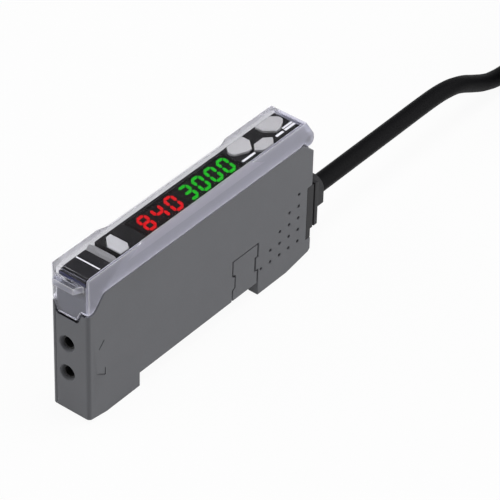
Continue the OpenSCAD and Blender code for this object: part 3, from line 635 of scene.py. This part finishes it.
@dataclass
class Studio:
    """Camera, lamps, floor and surroundings."""

    camera_at: Point = (-0.36318, -0.29395, 0.38620)
    azimuth: float = -52.327
    elevation: float = 38.241
    roll: float = 1.613
    focal_px: float = 3115.6
    image_px: float = 500.0
    sensor: float = 36.0
    clip_start: float = 0.01
    floor_profile: tuple[tuple[float, float], ...] = (
        (0.0, -0.05 * MM), (0.5, -0.05 * MM), (6.0, -0.05 * MM), (6.0, 1.4))
    floor_steps: int = 64
    floor_merge: float = 0.01 * MM
    floor_grey: float = 0.85
    floor_roughness: float = 0.9
    floor_white: float = 0.94
    sky: float = 0.07
    lamps: tuple[tuple[str, Point, float, float], ...] = (
        ("left_lamp", (-0.66, 0.74, 0.42), 1.1, 6.3),
        ("right_lamp", (0.8, -0.66, 0.5), 1.2, 8.6),
        ("top_lamp", (0.1, -0.05, 1.3), 0.6, 7.6),
    )

    def build(self) -> None:
        """Set up everything round the object."""
        bpy.context.scene.view_settings.view_transform = "Standard"
        self._camera()
        self._floor()
        self._world()
        for name, place, size, power in self.lamps:
            self._lamp(name, Vector(place), size, power)

    def _camera(self) -> None:
        """Place the camera where the photograph was taken from."""
        turn, lift, roll = (math.radians(a) for a in (self.azimuth, self.elevation, self.roll))
        back = Vector((math.sin(turn) * math.cos(lift), -math.cos(turn) * math.cos(lift), math.sin(lift)))
        level = Vector((0, 0, 1)).cross(back).normalized()
        rise = back.cross(level)
        right = level * math.cos(roll) + rise * math.sin(roll)
        up = rise * math.cos(roll) - level * math.sin(roll)
        data = bpy.data.cameras.new("camera")
        data.sensor_width = self.sensor
        data.lens = self.sensor * self.focal_px / self.image_px
        data.clip_start = self.clip_start
        eye = bpy.data.objects.new("camera", data)
        stance = Matrix((right, up, back)).transposed().to_4x4()
        eye.matrix_world = Matrix.Translation(self.camera_at) @ stance
        bpy.context.scene.collection.objects.link(eye)
        bpy.context.scene.camera = eye

    def _lamp(self, name: str, place: Vector, size: float, power: float) -> None:
        """Add a soft square lamp that points at the object.

        Args:
            name: Name of the lamp.
            place: Where it hangs.
            size: Side of the lamp.
            power: Its power in watts.
        """
        data = bpy.data.lights.new(name, "AREA")
        data.shape = "SQUARE"
        data.size = size
        data.energy = power
        lamp = bpy.data.objects.new(name, data)
        aim = place.to_track_quat("Z", "Y").to_matrix().to_4x4()
        lamp.matrix_world = Matrix.Translation(place) @ aim
        bpy.context.scene.collection.objects.link(lamp)

    def _floor(self) -> None:
        """Spin a pale round floor with a low backdrop at its rim."""
        bm = bmesh.new()
        spots = [bm.verts.new((reach, 0.0, height)) for reach, height in self.floor_profile]
        legs = [bm.edges.new(pair) for pair in zip(spots, spots[1:])]
        bmesh.ops.spin(bm, geom=[*spots, *legs], cent=(0.0, 0.0, 0.0), axis=(0.0, 0.0, 1.0),
                       angle=2 * math.pi, steps=self.floor_steps, use_merge=True)
        bmesh.ops.remove_doubles(bm, verts=bm.verts, dist=self.floor_merge)
        bmesh.ops.recalc_face_normals(bm, faces=bm.faces)
        mesh = bpy.data.meshes.new("floor")
        bm.to_mesh(mesh)
        bm.free()
        floor = bpy.data.objects.new("floor", mesh)
        bpy.context.scene.collection.objects.link(floor)
        mesh.materials.append(self._floor_material())

    @staticmethod
    def _seen(tree: bpy.types.NodeTree, share: float) -> Any:
        """Share of white that a direct, mirrored or clear view of the surroundings gets.

        Args:
            tree: Node tree that gets the nodes.
            share: Share of white for such a view.

        Returns:
            The socket with the share.
        """
        path = tree.nodes.new("ShaderNodeLightPath")
        total = path.outputs["Is Camera Ray"]
        for ray in ("Is Glossy Ray", "Is Transmission Ray"):
            either = tree.nodes.new("ShaderNodeMath")
            either.operation = "MAXIMUM"
            tree.links.new(total, either.inputs[0])
            tree.links.new(path.outputs[ray], either.inputs[1])
            total = either.outputs["Value"]
        scaled = tree.nodes.new("ShaderNodeMath")
        scaled.operation = "MULTIPLY"
        scaled.inputs[1].default_value = share
        tree.links.new(total, scaled.inputs[0])
        return scaled.outputs["Value"]

    def _floor_material(self) -> bpy.types.Material:
        """Build the floor's material, white to the eye with a faint shadow.

        Returns:
            The material.
        """
        made = bpy.data.materials.new("floor_white")
        made.use_nodes = True
        made.cycles.emission_sampling = "NONE"
        tree = made.node_tree
        shader = tree.nodes["Principled BSDF"]
        shader.inputs["Base Color"].default_value = (*[self.floor_grey] * 3, 1.0)
        shader.inputs["Roughness"].default_value = self.floor_roughness
        glow = tree.nodes.new("ShaderNodeEmission")
        blend = tree.nodes.new("ShaderNodeMixShader")
        tree.links.new(self._seen(tree, self.floor_white), blend.inputs["Fac"])
        tree.links.new(shader.outputs["BSDF"], blend.inputs[1])
        tree.links.new(glow.outputs["Emission"], blend.inputs[2])
        tree.links.new(blend.outputs["Shader"], tree.nodes["Material Output"].inputs["Surface"])
        return made

    def _world(self) -> None:
        """Fill the surroundings with soft white."""
        world = bpy.data.worlds.new("surroundings")
        bpy.context.scene.world = world
        world.use_nodes = True
        tree = world.node_tree
        soft = tree.nodes["Background"]
        soft.inputs["Color"].default_value = (1.0, 1.0, 1.0, 1.0)
        soft.inputs["Strength"].default_value = self.sky


@dataclass
class CaseShell:
    """Case moulding, side cover and rail clip, with grip dimples and engraved light arrows."""

    rounding: float = 0.14 * MM
    mark_width: float = 0.28 * MM
    mark_depth: float = 0.18 * MM
    near_side: float = -4.5 * MM
    marks: tuple[tuple[Point, Point], ...] = (
        ((-32.9 * MM, 0.0, 16.3 * MM), (-31.4 * MM, 0.0, 17.85 * MM)),
        ((-31.2 * MM, 0.0, 9.4 * MM), (-31.2 * MM, 0.0, 11.1 * MM)),
        ((-31.2 * MM, 0.0, 9.4 * MM), (-33.4 * MM, 0.0, 10.8 * MM)),
    )
    seam: tuple[tuple[float, float], ...] = (
        (4.1 * MM, 25.66 * MM), (3.98 * MM, 25.66 * MM), (2.98 * MM, 23.36 * MM), (-1.78 * MM, 23.36 * MM),
        (-2.78 * MM, 25.66 * MM), (-3.7 * MM, 25.66 * MM))
    seam_width: float = 0.5 * MM
    seam_reach: tuple[float, float] = (-35.9 * MM, -34.1 * MM)
    seam_slope: float = 0.8
    dimple_rows: int = 5
    dimple_first: tuple[float, float] = (26.95 * MM, 6.0 * MM)
    dimple_pitch: float = 2.9 * MM
    dimple_diameter: float = 0.72 * MM
    dimple_depth: float = 0.5 * MM
    dimple_sides: int = 24

    def build(self) -> None:
        """Make the shell's visible pieces."""
        bm = MeshKit.carved(MeshKit.node_copy("case_body"), self._mark_cutter())
        bm = MeshKit.carved(bm, self._seam_cutter())
        bmesh.ops.remove_doubles(bm, verts=bm.verts, dist=MeshKit.merge_reach)
        MeshKit.soften(bm, self.rounding)
        MeshKit.piece("case_body_moulded", bm, Finishes.CASE, Body.AMPLIFIER, ["case_body"])
        MeshKit.softened("side_cover", Finishes.CASE, Body.AMPLIFIER, self.rounding)
        MeshKit.softened("rail_clip", Finishes.CASE, Body.AMPLIFIER, self.rounding)

    def _seam_cutter(self) -> bmesh.types.BMesh:
        """Bars that cut the undercut seam under the cover's skirt and tongue.

        Returns:
            A mesh of the bars.
        """
        bm = bmesh.new()
        front, back = self.seam_reach
        for (y0, z0), (y1, z1) in zip(self.seam, self.seam[1:]):
            MeshKit.bar(bm, ((front + back) / 2, (y0 + y1) / 2, (z0 + z1) / 2),
                        (back - front, math.hypot(y1 - y0, z1 - z0), self.seam_width),
                        math.degrees(math.atan2(z1 - z0, y1 - y0)), "X")
        for vert in bm.verts:
            vert.co.z -= self.seam_slope * (vert.co.x - front)
        return bm

    def _mark_cutter(self) -> bmesh.types.BMesh:
        """Bars and pins that cut the engraved strokes and deepen the dimples.

        Returns:
            A mesh of the bars and pins.
        """
        bm = bmesh.new()
        for i in range(self.dimple_rows):
            for j in range(self.dimple_rows - i):
                place = Matrix.Translation((self.dimple_first[0] - i * self.dimple_pitch, self.near_side,
                                            self.dimple_first[1] + j * self.dimple_pitch))
                bmesh.ops.create_cone(bm, cap_ends=True, segments=self.dimple_sides,
                                      radius1=self.dimple_diameter / 2, radius2=self.dimple_diameter / 2,
                                      depth=2 * self.dimple_depth,
                                      matrix=place @ Matrix.Rotation(math.pi / 2, 4, "X"))
        for start, end in self.marks:
            run = Vector(end) - Vector(start)
            middle = (Vector(start) + Vector(end)) / 2
            slope = math.degrees(math.atan2(run.z, run.x))
            MeshKit.bar(bm, (middle.x, self.near_side, middle.z),
                        (run.length, 2 * self.mark_depth, self.mark_width), -slope, "Y")
        return bm


class CoverZone(Enum):
    """Parts of the clear cover that look different, by material slot."""

    TOP = 0
    WALL = 1
    BEVEL = 2
    EDGE = 3
    FAR = 4
    FAR_OUTSIDE = 5
    FRONT = 6
    RIM = 7
    SKIRT = 8


@dataclass
class ClearCover:
    """Clear hinged cover, polished on top and satin on its walls.

    The shares facing, steep, level and sloping are the parts of a face's normal that place it in a zone.
    """

    rounding: float = 0.1 * MM
    facing: float = 0.5
    steep: float = 0.7
    level: float = 0.9
    sloping: float = 0.1
    polished_above: float = 33.0 * MM
    front_before: float = -31.0 * MM
    rim_edge: Point = (-34.85 * MM, 0.0, 34.0 * MM)
    rim_normal: Point = (0.85, 0.0, 0.53)
    lip_before: float = -35.9 * MM
    lip_root: Point = (-35.8 * MM, 0.0, 32.5 * MM)
    root_normal: Point = (0.592, 0.0, 0.806)
    root_reach: float = 0.15 * MM
    skirt_edge: Point = (-31.3 * MM, 0.0, 28.85 * MM)
    skirt_normal: Point = (0.654, 0.0, -0.756)
    near_before: float = -3.0 * MM
    far_beyond: float = 3.0 * MM
    far_outside: float = 4.0 * MM
    rear_beyond: float = 27.0 * MM

    def build(self) -> None:
        """Make the cover."""
        bm = MeshKit.node_copy("clear_cover")
        rounded = bm.faces.layers.int.new("rounded")
        for face in MeshKit.soften(bm, self.rounding, segments=3):
            face[rounded] = 1
        for place, normal in ((self.lip_root, self.root_normal), (self.rim_edge, self.rim_normal)):
            front = [f for f in bm.faces
                     if min(v.co.x for v in f.verts) < self.rim_edge[0] and abs(f.normal.y) < self.facing]
            self._split(bm, front, place, normal)
        near = [f for f in bm.faces
                if f.calc_center_median().y < self.near_before and abs(f.normal.y) > self.facing]
        self._split(bm, near, self.skirt_edge, self.skirt_normal)
        bm.normal_update()
        for face in bm.faces:
            face.material_index = self._zone(face, face[rounded] == 1).value
        cover = MeshKit.piece("clear_cover_moulded", bm, Finishes.COVER[0], Body.COVER, ["clear_cover"])
        for finish in Finishes.COVER[1:]:
            cover.data.materials.append(finish.material())

    @staticmethod
    def _split(bm: bmesh.types.BMesh, faces: Sequence[bmesh.types.BMFace], place: Point,
               normal: Point) -> None:
        """Cut some faces along a plane.

        Args:
            bm: Mesh of the faces.
            faces: The faces.
            place: Point on the plane.
            normal: Normal of the plane.
        """
        parts = dict.fromkeys(part for face in faces for part in (face, *face.edges, *face.verts))
        bmesh.ops.bisect_plane(bm, geom=list(parts), plane_co=place, plane_no=normal)

    def _zone(self, face: bmesh.types.BMFace, rounded: bool) -> CoverZone:
        """Find the zone of a face.

        Args:
            face: Face of the cover.
            rounded: Whether it belongs to a rounded edge.

        Returns:
            Its zone.
        """
        middle, normal = face.calc_center_median(), face.normal
        ahead = (middle - Vector(self.rim_edge)).dot(Vector(self.rim_normal)) < 0.0
        above = (middle - Vector(self.lip_root)).dot(Vector(self.root_normal)) > 0.0
        across = abs(normal.y) < self.facing
        root = Vector((self.lip_root[0], middle.y, self.lip_root[2]))
        if ahead and above and across and middle.x < self.front_before:
            return CoverZone.RIM
        if rounded and (middle - root).length < self.root_reach:
            return CoverZone.FRONT
        if abs(normal.z) > self.level and middle.z > self.polished_above:
            return CoverZone.TOP
        # FAR and FAR_OUTSIDE get a near-white tint, painted light on the far wall
        if middle.y > self.far_beyond and normal.z > -self.steep:
            return CoverZone.FAR_OUTSIDE if middle.y > self.far_outside else CoverZone.FAR
        if middle.x > self.rear_beyond and abs(normal.x) > self.facing:
            return CoverZone.WALL
        if middle.x < self.lip_before and not rounded:
            return CoverZone.FRONT if abs(normal.z) > self.steep else CoverZone.WALL
        # EDGE gets a near-white tint, a painted highlight on the rounded edges and downward faces
        if rounded or normal.z < -self.steep:
            return CoverZone.EDGE
        if middle.x < self.front_before and across:
            return CoverZone.FRONT
        forward = (middle - Vector(self.skirt_edge)).dot(Vector(self.skirt_normal)) < 0.0
        # SKIRT gets a darker tint than WALL, painted shade
        if forward and middle.y < self.near_before:
            return CoverZone.SKIRT
        # BEVEL gets a lighter tint than WALL, a painted highlight on the sloping upper strip
        return CoverZone.BEVEL if normal.y < -self.facing and normal.z > self.sloping else CoverZone.WALL


@dataclass
class LockLever:
    """Fibre lock lever with its label."""

    rounding: float = 0.2 * MM
    label_rounding: float = 0.04 * MM
    edge_facing: float = -0.5
    line_x: float = -30.4 * MM
    line_y: tuple[float, float] = (-2.7 * MM, 3.0 * MM)
    line_width: float = 0.3 * MM
    print_thickness: float = 0.02 * MM

    def build(self) -> None:
        """Make the lever's visible pieces."""
        MeshKit.softened("lock_lever", Finishes.LEVER, Body.LEVER, self.rounding, segments=3)
        bm = MeshKit.node_copy("label_plate")
        MeshKit.soften(bm, self.label_rounding)
        bm.normal_update()
        for face in bm.faces:
            face.material_index = int(face.normal.x < self.edge_facing)
        label = MeshKit.piece("label_film", bm, Finishes.LABEL, Body.LEVER, ["label_plate"])
        label.data.materials.append(Finishes.LABEL_EDGE.material())
        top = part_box("label_plate")[1].z
        bm = bmesh.new()
        low, high = self.line_y
        MeshKit.bar(bm, (self.line_x, (low + high) / 2, top + self.print_thickness / 2),
                    (self.line_width, high - low, self.print_thickness))
        MeshKit.piece("label_line", bm, Finishes.PRINT, Body.LEVER)


@dataclass
class Deck:
    """Bezel, window, displays, lens and keys."""

    rounding: float = 0.08 * MM
    window_rounding: float = 0.05 * MM
    lens_rounding: float = 0.15 * MM
    key_rounding: float = 0.18 * MM
    print_thickness: float = 0.02 * MM
    print_bars: tuple[tuple[float, float, float, float], ...] = (
        (25.2 * MM, 28.2 * MM, -1.1 * MM, 0.45 * MM),
        (22.4 * MM, 24.6 * MM, -1.8 * MM, 0.55 * MM),
        (25.1 * MM, 28.2 * MM, -1.8 * MM, 0.55 * MM),
        (11.9 * MM, 15.7 * MM, -1.95 * MM, 0.5 * MM),
    )
    keys: tuple[tuple[str, Body], ...] = (
        ("left_key", Body.LEFT_BUTTON), ("right_key", Body.RIGHT_BUTTON), ("set_key", Body.SET_BUTTON))

    def build(self) -> None:
        """Make the deck's visible pieces."""
        MeshKit.softened("display_bezel", Finishes.BEZEL, Body.AMPLIFIER, self.rounding)
        MeshKit.softened("display_window", Finishes.WINDOW, Body.AMPLIFIER, self.window_rounding)
        MeshKit.softened("indicator_lens", Finishes.LENS, Body.AMPLIFIER, self.lens_rounding, segments=3)
        for node, body in self.keys:
            MeshKit.softened(node, Finishes.KEY, body, self.key_rounding, segments=3)
        self._prints()
        for node, finish in (("red_display", Finishes.MODULE), ("green_display", Finishes.MODULE),
                             ("red_digits", Finishes.RED), ("green_digits", Finishes.GREEN),
                             ("indicator_led", Finishes.LENS)):
            MeshKit.dress(node, finish)

    def _prints(self) -> None:
        """Make the plain white bars printed beside the keys."""
        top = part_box("display_bezel")[1].z + self.print_thickness / 2
        bm = bmesh.new()
        for low, high, across, width in self.print_bars:
            MeshKit.bar(bm, ((low + high) / 2, across, top), (high - low, width, self.print_thickness))
        MeshKit.piece("deck_prints", bm, Finishes.PRINT, Body.AMPLIFIER)


@dataclass
class InnerParts:
    """Boards and parts inside the case."""

    nodes: dict[str, Finish] = field(default_factory=lambda: {
        "left_switch": Finishes.STEEL, "right_switch": Finishes.STEEL, "set_switch": Finishes.STEEL,
        "left_plunger": Finishes.BLACK, "right_plunger": Finishes.BLACK, "set_plunger": Finishes.BLACK,
        "display_board": Finishes.BOARD, "main_board": Finishes.BOARD, "board_header": Finishes.BLACK,
        "board_chips": Finishes.BLACK, "emitter_led": Finishes.LENS, "receiver_diode": Finishes.BLACK,
        "fibre_holder": Finishes.BLACK, "fibre_clamp": Finishes.KEY})

    def build(self) -> None:
        """Give each inner part its finish."""
        for node, finish in self.nodes.items():
            MeshKit.dress(node, finish)


@dataclass
class CableRun:
    """Bush, cable, stored hank, tie and bare leads.

    The route's points are in millimetres, and the folds' inner radius is in diameters of the cable.
    """

    diameter: float = 3.8 * MM
    length: float = 2.0
    route_mm: tuple[Point, ...] = (
        (37.6, 0, 11), (46, 0, 11), (56, 0, 11), (66, 0, 11), (74, 0, 11), (80, 0, 10.8), (85, 0, 10),
        (89, 0, 8.6), (93, 0, 6.6), (97, 0, 4.7), (101, 0, 3.4), (106, 0, 2.7), (113, 0, 2.7), (121, 0, 2.7))
    hank_run: float = 55.0 * MM
    fold_radius: float = 3.05
    turns: int = 2
    layers: int = 5
    run_legs: int = 12
    back_legs: int = 16
    end_x: float = 140.0 * MM
    bush_rounding: float = 0.12 * MM
    tie_rounding: float = 0.25 * MM
    strand_resolution: int = 3
    lead_end_x: float = 119.0 * MM
    lead_legs: int = 12
    bare_from: int = 10
    lead_inset: float = 1.5 * MM
    lead_root_pitch: float = 0.75 * MM
    lead_end_pitch: float = 1.3 * MM
    lead_fall: float = 1.6
    core_radius: float = 0.5 * MM
    wire_radius: float = 0.32 * MM

    def build(self) -> None:
        """Make the bush, the cable and what is on it."""
        MeshKit.softened("cable_bush", Finishes.BUSH, Body.AMPLIFIER, self.bush_rounding)
        tie = MeshKit.softened("cable_tie", Finishes.TIE, Body.AMPLIFIER, self.tie_rounding, segments=3)
        points = self._route_points()
        points += self._hank_points(points[-1])
        cable = self._curve("cable_sheath", [points], self.diameter / 2, [Finishes.CABLE])
        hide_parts("cable", "cable_hank")
        leads = self._leads(points[-1])

    def _curve(self, name: str, lines: Sequence[Sequence[Vector]], radius: float,
               finishes: Sequence[Finish]) -> bpy.types.Object:
        """Make round strands along lines of points.

        Args:
            name: Name of the piece.
            lines: Points of each strand.
            radius: Radius of the strands.
            finishes: Finish of each strand.

        Returns:
            The new object.
        """
        data = bpy.data.curves.new(name, "CURVE")
        data.dimensions = "3D"
        data.bevel_depth = radius
        data.bevel_resolution = self.strand_resolution
        data.use_fill_caps = True
        for number, (line, finish) in enumerate(zip(lines, finishes)):
            strand = data.splines.new("POLY")
            strand.points.add(len(line) - 1)
            for spot, place in zip(strand.points, line):
                spot.co = (*place, 1.0)
            strand.use_smooth = True
            strand.material_index = number
            data.materials.append(finish.material())
        made = bpy.data.objects.new(name, data)
        bpy.context.scene.collection.objects.link(made)
        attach(made, Body.AMPLIFIER.value)
        LOG.info("strand %s, %d points", name, sum(len(line) for line in lines))
        return made

    def _route_points(self, per_leg: int = 5) -> list[Vector]:
        """Smooth line through the route's own points.

        Args:
            per_leg: Points on each leg of the route.

        Returns:
            Points from the bush to the hank.
        """
        spots = [Vector(p) * MM for p in self.route_mm]
        padded = [2 * spots[0] - spots[1], *spots, 2 * spots[-1] - spots[-2]]
        line: list[Vector] = []
        for a, b, c, d in zip(padded, padded[1:], padded[2:], padded[3:]):
            for step in range(per_leg):
                t = step / per_leg
                line.append(0.5 * (2 * b + (c - a) * t + (2 * a - 5 * b + 4 * c - d) * t * t
                                   + (3 * b - a - 3 * c + d) * t ** 3))
        return line + [spots[-1]]

    def _hank_points(self, start: Vector) -> list[Vector]:
        """Line of the stored length, wound into a flat hank from its outside in.

        Args:
            start: Where the line enters the hank's near run.

        Returns:
            Points after the start.
        """
        d = self.diameter
        radii = [d * (self.fold_radius + k) for k in range(self.turns)]
        x0, x1 = start.x, start.x + self.hank_run
        centre = start.y - radii[-1]
        plan = []
        for layer in range(self.layers):
            ordered = reversed(radii) if layer % 2 == 0 else radii
            plan += [(r, start.z + layer * d) for r in ordered]
        line: list[Vector] = []
        for number, (radius, height) in enumerate(plan):
            last = number == len(plan) - 1
            after = plan[number] if last else plan[number + 1]
            line += [Vector((x0 + (x1 - x0) * k / self.run_legs, centre + radius, height))
                     for k in range(1, self.run_legs)]
            line += self._fold(Vector((x1, centre, height)), radius, 90.0)
            stop = self.end_x if last else x0
            for k in range(1, self.back_legs):
                t = k / self.back_legs
                climb, shift = self._ease(2 * t), self._ease(2 * t - 1)
                r = radius + (after[0] - radius) * shift
                z = height + (after[1] - height) * climb
                line.append(Vector((x1 + (stop - x1) * t, centre - r, z)))
            if last:
                line.append(Vector((stop, centre - radius, height)))
            else:
                line += self._fold(Vector((x0, centre, after[1])), after[0], -90.0)
        return line

    @staticmethod
    def _ease(t: float) -> float:
        """Ease from 0 to 1, held outside that range."""
        t = min(max(t, 0.0), 1.0)
        return t * t * (3 - 2 * t)

    @staticmethod
    def _fold(centre: Vector, radius: float, start: float, steps: int = 16) -> list[Vector]:
        """Half turn at an end of the hank.

        Args:
            centre: Centre of the fold.
            radius: Its radius.
            start: Angle in degrees where it starts.
            steps: Legs in the half turn.

        Returns:
            Points of the half turn, with both ends.
        """
        angles = [math.radians(start - 180.0 * k / steps) for k in range(steps + 1)]
        return [centre + radius * Vector((math.cos(a), math.sin(a), 0.0)) for a in angles]

    def _leads(self, end: Vector) -> list[bpy.types.Object]:
        """Four cores with bare tips at the free end.

        Args:
            end: End of the cable's sheath.

        Returns:
            The cores and their tips.
        """
        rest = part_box("cable_leads")[0].z + self.core_radius
        count = len(Finishes.CORES)
        cores, tips = [], []
        for number in range(count):
            side = number - (count - 1) / 2
            root = end + Vector((self.lead_inset, side * self.lead_root_pitch, 0.0))
            spread = Vector((self.lead_end_x, end.y + side * self.lead_end_pitch, rest))
            line = []
            for k in range(self.lead_legs + 1):
                t = k / self.lead_legs
                drop = self._ease(t * self.lead_fall)
                line.append(Vector((root.x + (spread.x - root.x) * t, root.y + (spread.y - root.y) * drop,
                                    root.z + (spread.z - root.z) * drop)))
            cores.append(line[:self.bare_from + 1])
            tips.append(line[self.bare_from:])
        covers = self._curve("core_covers", cores, self.core_radius, Finishes.CORES)
        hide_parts("cable_leads")
        wires = self._curve("core_tips", tips, self.wire_radius, [Finishes.COPPER] * count)
        return [covers, wires]


def main() -> None:
    """Build the dressed amplifier around its frame."""
    logging.basicConfig(level=logging.INFO, format="%(name)s: %(message)s")
    MeshKit.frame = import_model()
    for assembly in (Studio(), CableRun(), CaseShell(), ClearCover(), LockLever(), Deck(), InnerParts()):
        assembly.build()
        LOG.info("built %s", type(assembly).__name__)


if __name__ == "__main__":
    main()
